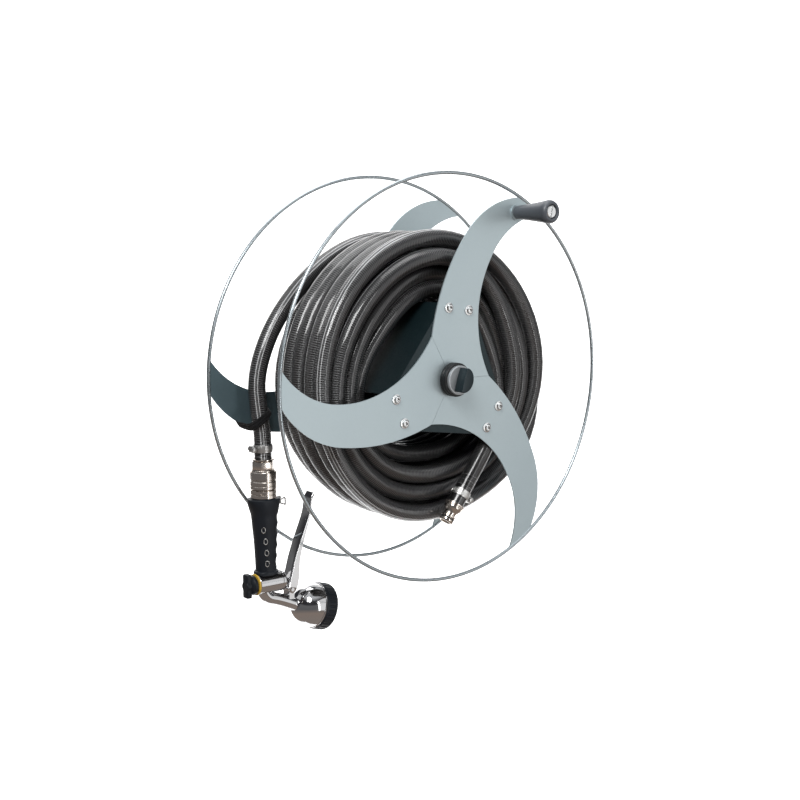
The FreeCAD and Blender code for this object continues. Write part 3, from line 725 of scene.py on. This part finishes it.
def clamp(name, place, low, replaced):
    """A worm clamp: a band with raised ridges across it, its housing, and a screw with a hexagon head."""
    band = [(12.12, low), (12.95, low), (13.15, low + 0.3), (13.15, low + 9.7), (12.95, low + 10),
            (12.12, low + 10)]
    ridges = [(slab((0.35, 1.3), 6.4, (13.2, 0, low + 1.8), 0.1), Matrix.Rotation(math.radians(turn), 4, "Z"))
              for turn in range(-150, 151, 10)]
    housing = slab((6.6, 11.6), 9, (-16.4, 0, low + 0.5), 1.3, 3)
    sideways = Matrix.Translation((-17, 8.3, low + 5)) @ Matrix.Rotation(math.radians(90), 4, "X")
    screw = joined(turned([(0, 0.2), (2.2, 0.2), (2.5, 0.5), (2.5, 13), (0, 13)], 24),
                   prism(6, 3.9, 12.9, 16.6, 0.4))
    shapes = [turned(band, 72, closed=True), housing, (screw, sideways)] + ridges
    finished(joined(*shapes), name, "reel", band_steel, place, (replaced,))


clamp("outer_clamp_turning", HANG, -97, "outer_hose_clamp")
clamp("inner_clamp_turning", INNER, -22, "inner_hose_clamp")

# %% Inlet
inlet = [(6.05, 0.1), (13.9, 0.1), (14.5, 0.6), (14.5, 2.4), (14.0, 2.9), (13.2, 3.1), (13.2, 4.4),
         (12.6, 4.9), (12.5, 7.6), (11.9, 8.8), (10.6, 10.4), (9.3, 12.4), (8.6, 14.6), (8.5, 17.4),
         (9.4, 17.9), (10, 18.3), (10, 20.6), (9.7, 20.9), (8.62, 21), (8.62, 24), (9.7, 24.1), (10, 24.4),
         (10, 26.4), (9.7, 27.5), (8.9, 28.3), (8.0, 28.5), (7.2, 28.2), (6.7, 27.2), (6.05, 26.4)]
inlet_piece = finished(turned(inlet, 96, closed=True), "inlet_turning", "reel", nickel,
                       INNER, ("inlet_nipple",))
finished(turned(ring_profile(9.4, 0.79), 72, closed=True), "inlet_ring_seal", "reel",
         seal_rubber, INNER @ Matrix.Translation((0, 0, 22.5)), ("inlet_seal",))

# %% [markdown]
# ## Strap
#
# A woven band holds the hanging end against the edge of one arm. It is a rounded loop with a little slack.

# %% Strap
def strap_band():
    bm = bmesh.new()
    steps, rows = 140, 18
    bmesh.ops.create_grid(bm, x_segments=steps, y_segments=rows, size=1)
    for vert in bm.verts:
        turn, across = (vert.co.x + 1) * math.pi, vert.co.y
        c, s = math.cos(turn), math.sin(turn)
        size = (abs(c) ** 4 + abs(s) ** 4) ** -0.25
        slack = (1 + 0.012 * math.sin(3 * turn + 1) - 0.03 * across * across
                 + 0.01 * math.sin(5 * turn + 2 * across))
        ridge = 0.7 * abs(math.cos(1.5 * math.pi * across))
        vert.co = Vector((-2.5 + (20.0 * size * slack + ridge) * c, 7 + (21.5 * size * slack + ridge) * s,
                          (5.6 + 0.5 * math.sin(2 * turn)) * across + 1.3 * math.sin(turn + 0.6)))
    bmesh.ops.remove_doubles(bm, verts=bm.verts, dist=0.01)
    bmesh.ops.recalc_face_normals(bm, faces=bm.faces)
    bmesh.ops.solidify(bm, geom=bm.faces[:], thickness=1.3)
    return bm


STRAP = Matrix.Translation((-214.5, -95, -49)) @ Matrix.Rotation(-math.atan(0.6), 4, "Y")
finished(strap_band(), "strap_loop", "reel", strap_weave, STRAP, ("hose_strap",))

# %% [markdown]
# ## Spray gun
#
# The handle is an oval that is extruded ring by ring, so that its two lips, its taper and the five finger
# hollows are one skin. The metal parts are turned round their own axes, and the lever is a pressed channel.

# %% Handle
def lofted(rows, shape_at, count=72):
    """Pull a ring up through the rows; shape_at gives each ring point its plan position."""
    bm = bmesh.new()
    layer = bm.verts.layers.float.new("turn")
    bmesh.ops.create_circle(bm, segments=count, radius=1, cap_ends=True)
    edges = list(bm.edges)
    for vert in bm.verts:
        vert[layer] = math.atan2(vert.co.y, vert.co.x)
    ring = list(bm.verts)
    for index, row in enumerate(rows):
        if index:
            grown = bmesh.ops.extrude_edge_only(bm, edges=edges)["geom"]
            ring = verts_in(grown)
            inside = set(ring)
            edges = [item for item in grown
                     if isinstance(item, bmesh.types.BMEdge) and set(item.verts) <= inside]
        for vert in ring:
            vert.co = (*shape_at(row, vert[layer]), row[0])
    bmesh.ops.edgeloop_fill(bm, edges=edges)
    return bm


GRIP_TOP, GRIP_FOOT = -180, -256
HOLLOWS, HOLLOW_DEPTH = 5, 2.2


def handle_shape(row, turn):
    """The plan position of one point of the handle's oval; the side towards the lever has the hollows."""
    height, shift, wide, deep = row
    c, s = math.cos(turn), math.sin(turn)
    round_part = (abs(c) ** 2.25 + abs(s) ** 2.25) ** (-1 / 2.25)
    hollow = 0.0
    if GRIP_FOOT < height < GRIP_TOP:
        phase = math.sin((height - GRIP_TOP) / (GRIP_TOP - GRIP_FOOT) * HOLLOWS * math.pi)
        hollow = HOLLOW_DEPTH * (phase * phase) ** 0.7 * max(0.0, math.cos(turn - math.radians(24))) ** 0.8
    return shift + (wide - hollow) * c * round_part, (deep - hollow) * s * round_part


def handle_rows():
    keys = [(-184, 1, 18.6, 16.1), (-220, 2.3, 16.1, 15), (-250, 2.4, 14.4, 14), (-260.6, 2.4, 14.1, 13.7)]
    rows = [(-266, 2.2, 16.2, 14.2), (-265.4, 2.2, 17.0, 14.9), (-262.6, 2.2, 17.1, 15),
            (-261.4, 2.3, 16.4, 14.6), (-261, 2.4, 14.6, 14)]
    for (high, *top), (low, *bottom) in zip(keys[::-1][1:], keys[::-1][:-1]):
        steps = round((high - low) / 1.6)
        for step in range(steps):
            share = step / steps
            rows.append((low + (high - low) * share, *[b + (t - b) * share for t, b in zip(top, bottom)]))
    return rows + [(-184, 1, 18.6, 16.1), (-180, 0.7, 19.4, 16.7), (-175, 0.3, 20.7, 17.5),
                   (-170, 0, 22.0, 18.1), (-166.5, 0, 22.8, 18.4), (-163.4, 0, 23.2, 18.6),
                   (-161.4, 0, 23.0, 18.5), (-160.6, 0, 22.0, 17.8), (-160.35, 0, 19.5, 16.4)]


def oval_mark(height, wide, deep, turn):
    """A thin raised oval outline on the handle's side."""
    bm = turned(ring_profile(1.0, 0.2, 8), 32, closed=True)
    bmesh.ops.scale(bm, vec=(2.5, 3.9, 3.0), verts=bm.verts)
    x, y = handle_shape((height, 2.3, wide, deep), turn)
    out, up = Vector((math.cos(turn), math.sin(turn), 0)), Vector((0, 0, 1))
    frame = Matrix((up.cross(out), up, out)).transposed().to_4x4()
    return bm, Matrix.Translation((x, y, height)) @ frame


# height, half width and half depth of the handle there, and the side in degrees
MARKS = [(-202, 17.4, 15.6, -128), (-218, 16.3, 15.15, -120), (-234, 15.4, 14.6, -116),
         (-249, 14.5, 14.1, -114)]
marks = [oval_mark(height, wide, deep, math.radians(turn)) for height, wide, deep, turn in MARKS]
finished(joined(*marks), "handle_marks", "spray_gun", band_steel, HANG)
finished(lofted(handle_rows(), handle_shape), "gun_handle", "spray_gun", gun_rubber, HANG,
         ("gun_grip",))

# %% Valve chamber, ring and flow knob
CHAMBER = along((-180, HANG_Y, -279), (-1, 0, 0))
chamber = [(0, 13.9), (3.1, 13.9), (3.1, 0), (12.6, 0), (13.8, 0.5), (14.3, 1.6), (14.3, 4.6), (13.8, 5.1),
           (13.8, 6.3), (14.3, 6.8), (14.3, 41.2), (13.7, 41.95), (5, 41.95), (5, 55.8), (0, 55.8)]
finished(turned(chamber, 96), "chamber_turning", "spray_gun", chrome, CHAMBER,
         ("valve_chamber",))
finished(turned([(5.05, 42.05), (14.3, 42.05), (14.8, 42.5), (14.8, 43.6), (14.3, 44.1), (5.05, 44.1)], 96,
                closed=True),
         "chamber_band", "spray_gun", yellow, CHAMBER, ("chamber_ring",))
flow = [(0, 56.6), (5.06, 56.6), (5.06, 45.4), (12.6, 45.4), (13.2, 46.0), (13.2, 49.4), (11.4, 51.6),
        (8, 53.4), (8, 58.9), (7.1, 59.9), (0, 59.9)]
finished(joined(turned(flow, 64), slab((12.6, 32.8), 8.1, (0, 0, 51.6), 1.8, 3)), "flow_wing", "flow_knob",
         gun_rubber, CHAMBER, ("flow_knob",))

# %% Neck, bell and spray head
def knurled(profile, steps, low, high, depth, share):
    """A turned ring whose outer skin is stepped in between two heights, a few steps in every group."""
    bm = turned(profile, steps, 0, closed=True)
    outer = max(radius for radius, height in profile)
    for vert in bm.verts:
        radius = math.hypot(vert.co.x, vert.co.y)
        step = round(math.atan2(vert.co.y, vert.co.x) / (2 * math.pi) * steps)
        if low <= vert.co.z <= high and radius > outer - 0.2 and step % 6 < share:
            vert.co.x *= 1 - depth / radius
            vert.co.y *= 1 - depth / radius
    return bm


tube("neck_pipe", [(-212, HANG_Y, -284), (-209, HANG_Y, -299), (-186, HANG_Y, -305), (-157, HANG_Y, -319)],
     9.0, "spray_gun", chrome, 8, 10, ("gun_neck",))
HEAD = along((-127.5, HANG_Y, -325), (math.cos(math.radians(16)), 0, -math.sin(math.radians(16))))
dome = [(31 * (1 - share ** 2.3) ** (1 / 2.3), -34 * share) for share in
        [0.9995, 0.995, 0.985, 0.97, 0.945, 0.91, 0.87, 0.82, 0.76, 0.69, 0.61, 0.52, 0.42, 0.31, 0.2, 0.1]]
bell = [(0, -34)] + dome + [(31, -2.0), (31.7, -1.7), (32.1, -1.0), (31.9, -0.1), (27, 0), (4, 0), (4, 7.9),
                            (0, 7.9)]
finished(turned(bell, 128), "bell_turning", "spray_gun", chrome, HEAD, ("gun_bell",))
rim = [(27, 0.5), (31.4, 0.5), (32.4, 1.1), (32.7, 2.6), (32.95, 3.2), (32.95, 4.0), (32.95, 15.8),
       (32.95, 16.6), (32.3, 18.4), (30.8, 19.6), (27, 19.9)]
finished(knurled(rim, 180, 3.9, 15.9, 0.9, 2), "rim_grip", "spray_head", gun_rubber, HEAD,
         ("head_rim",))


def spray_face():
    """The pattern disc: a dished plate with a ring of outlets, each with a raised edge and a dark hole."""
    disc = turned([(0, 8.6), (4.1, 8.6), (4.1, 3.1), (26.9, 3.1), (26.9, 16.8), (25.4, 17.1), (24.6, 16.2),
                   (11, 16.2), (10, 17.6), (0, 18.2)], 96)
    outlets = []
    for step in range(8):
        turn = step * math.pi / 4
        outlet = turned([(2.2, 15.4), (3.8, 16), (3.5, 17.2), (2.4, 17.4), (2.0, 16.9), (1.9, 15.4)], 24,
                        closed=True)
        outlets.append((outlet, Matrix.Translation((17.8 * math.cos(turn), 17.8 * math.sin(turn), 0))))
    return joined(disc, *outlets)


finished(spray_face(), "pattern_disc", "spray_head", face_plastic, HEAD, ("head_face",))

# %% [markdown]
# The lever is drawn as an open channel, station by station along its length, and then given its thickness.

# %% Lever
WEB = [(-174.6, -288), (-174.4, -282), (-170, -268), (-165.6, -250.6), (-157, -228), (-148, -207),
       (-139.8, -187), (-138.3, -173), (-136, -165.5), (-132, -161.2)]
EDGE = [(-161, -292), (-158, -281), (-157.0, -268), (-156.4, -253), (-150.0, -229), (-142.8, -208),
        (-136.2, -187), (-134.6, -173), (-133.4, -168), (-130.8, -163.6)]
HALF, BEND, SHEET = 9.5, 2.5, 1.4


def lever_channel():
    """Flank, rounded corner, web, rounded corner and flank at each station, skinned and thickened."""
    lines = [path_of([(x, 0, z) for x, z in points], 5) for points in (WEB, EDGE)]
    bm = bmesh.new()
    rows = []
    for web, edge in zip(*lines):
        web, edge = web / MM, edge / MM
        row = []
        for side in (-1, 1):
            bend = min(BEND, 0.6 * (edge - web).length)
            toward = (edge - web).normalized() * bend
            flank = [edge + Vector((0, side * HALF, 0))]
            for k in range(5):
                turn = k / 4 * math.pi / 2
                outward = side * (HALF - bend * (1 - math.cos(turn)))
                flank.append(web + toward * (1 - math.sin(turn)) + Vector((0, outward, 0)))
            row += flank if side < 0 else flank[::-1]
        rows.append([bm.verts.new(spot) for spot in row])
    for low, high in zip(rows, rows[1:]):
        for a, b, c, d in zip(low, low[1:], high[1:], high):
            bm.faces.new((a, b, c, d))
    bmesh.ops.recalc_face_normals(bm, faces=bm.faces)
    middle = rows[len(rows) // 2][5].link_faces[0]
    if middle.normal.x > 0:
        bmesh.ops.reverse_faces(bm, faces=bm.faces)
    bmesh.ops.solidify(bm, geom=bm.faces[:], thickness=SHEET)
    return bm


def ear(side):
    """A rounded ear at the lever's foot, with the pin through it."""
    bm = bmesh.new()
    spots = [(-175, -284), (-174.6, -291), (-172.6, -296.6), (-169, -298.8), (-165.4, -297.8),
             (-162.4, -294), (-160.2, -288), (-158.2, -281), (-165, -276)]
    bm.faces.new([bm.verts.new((x, side * 8.0, z)) for x, z in spots])
    pulled(bm, (0, side * 1.35, 0))
    round_off(bm, 0.3)
    return bm


finished(joined(lever_channel(), ear(-1), ear(1)), "lever_pressing", "trigger", chrome,
         Matrix.Translation((0, HANG_Y, 0)), ("trigger_lever",))

# %% Lock wire
LEG = [(-189, -166.5), (-181, -163.4), (-178.4, -162.6), (-177.2, -163.6), (-177.1, -170.5), (-177.2, -172.4)]
wire = [(x, HANG_Y - 6, z) for x, z in LEG] + [(-177.2, HANG_Y - 5, -172.6), (-177.2, HANG_Y + 5, -172.6)]
wire += [(x, HANG_Y + 6, z) for x, z in LEG[::-1]]
tube("lock_wire", wire, 1.15, "lock_bail", band_steel, 6, 4, ("lock_bail",))

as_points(hose_path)

# %% [markdown]
# ## Light and backdrop
#
# A white sweep and large soft lights give the even look of a product picture, and a narrow strip draws a
# fine highlight along the hose. Chrome needs something dark to mirror as well, so the sky has bands: a warm
# grey floor, a grey horizon, a nearly black belt above it, and a pale top.

# %% Sweep, sky and lights
def sweep():
    bm = bmesh.new()
    corner, rise, ahead, left, right, bend = Vector((0, 1700, -1200)), 3600, -50, -350, 4600, 600
    start = bm.verts.new((left, -ahead, corner.z))
    points = [(-ahead, corner.z), (corner.y - bend, corner.z)]
    for step in range(1, 12):
        angle = step / 12 * math.pi / 2
        points.append((corner.y - bend + bend * math.sin(angle), corner.z + bend - bend * math.cos(angle)))
    points += [(corner.y, corner.z + bend), (corner.y, corner.z + rise)]
    verts = [start] + [bm.verts.new((left, y, z)) for y, z in points[1:]]
    edges = [bm.edges.new(pair) for pair in zip(verts, verts[1:])]
    grown = bmesh.ops.extrude_edge_only(bm, edges=edges)["geom"]
    bmesh.ops.translate(bm, vec=(right - left, 0, 0), verts=verts_in(grown))
    bmesh.ops.transform(bm, matrix=Matrix.Scale(MM, 4), verts=bm.verts)
    mesh = bpy.data.meshes.new("sweep")
    bm.to_mesh(mesh)
    bm.free()
    for polygon in mesh.polygons:
        polygon.use_smooth = True
    mesh.materials.append(shader("sweep_white", (0.90, 0.90, 0.90), 0.9, Emission_Color=(1, 1, 1, 1),
                                 Emission_Strength=1.0))
    in_scene("sweep", mesh)


def area_light(name, place, target, size, power):
    data = bpy.data.lights.new(name, "AREA")
    data.shape = "RECTANGLE"
    data.size, data.size_y = size
    data.energy = power
    lamp = in_scene(name, data)
    lamp.location = place
    lamp.rotation_euler = (Vector(target) - Vector(place)).to_track_quat("-Z", "Y").to_euler()


sweep()
sky = bpy.data.worlds.new("sky")
bpy.context.scene.world = sky
bpy.context.scene.view_settings.view_transform = "Standard"
sky.use_nodes = True
tree = sky.node_tree
gaze = tree.nodes.new("ShaderNodeTexCoord")
parts = tree.nodes.new("ShaderNodeSeparateXYZ")
tree.links.new(gaze.outputs["Generated"], parts.inputs["Vector"])
height = tree.nodes.new("ShaderNodeMapRange")
height.inputs["From Min"].default_value = -1
tree.links.new(parts.outputs["Z"], height.inputs["Value"])
bands = tree.nodes.new("ShaderNodeValToRGB")
# how far up the sky is (-1 straight down, 1 straight up), and its colour there
BANDS = [(-1.0, (0.34, 0.29, 0.26)), (-0.5, (0.36, 0.29, 0.25)), (-0.15, (0.17, 0.17, 0.175)),
         (0.15, (0.19, 0.19, 0.195)), (0.28, (0.04, 0.04, 0.045)), (0.55, (0.05, 0.05, 0.055)),
         (0.75, (0.70, 0.71, 0.73)), (1.0, (0.80, 0.81, 0.83))]
for index, (level, colour) in enumerate(BANDS):
    stop = bands.color_ramp.elements[index] if index < 2 else bands.color_ramp.elements.new(0.5 + level / 2)
    stop.position = 0.5 + level / 2
    stop.color = (*colour, 1)
tree.links.new(height.outputs["Result"], bands.inputs["Fac"])
tree.links.new(bands.outputs["Color"], tree.nodes["Background"].inputs["Color"])
area_light("key", (-1.9, -1.7, 1.9), (0, -0.15, 0), (1.2, 1.2), 80)
area_light("fill", (1.3, -2.3, 0.05), (0, -0.15, -0.1), (2.0, 2.4), 15)
area_light("strip", (0.3, -2.7, 0.0), (0, -0.1, 0), (0.22, 2.2), 13)
area_light("top", (0.1, 0.1, 2.4), (0, 0.1, 0), (2.4, 1.4), 36)
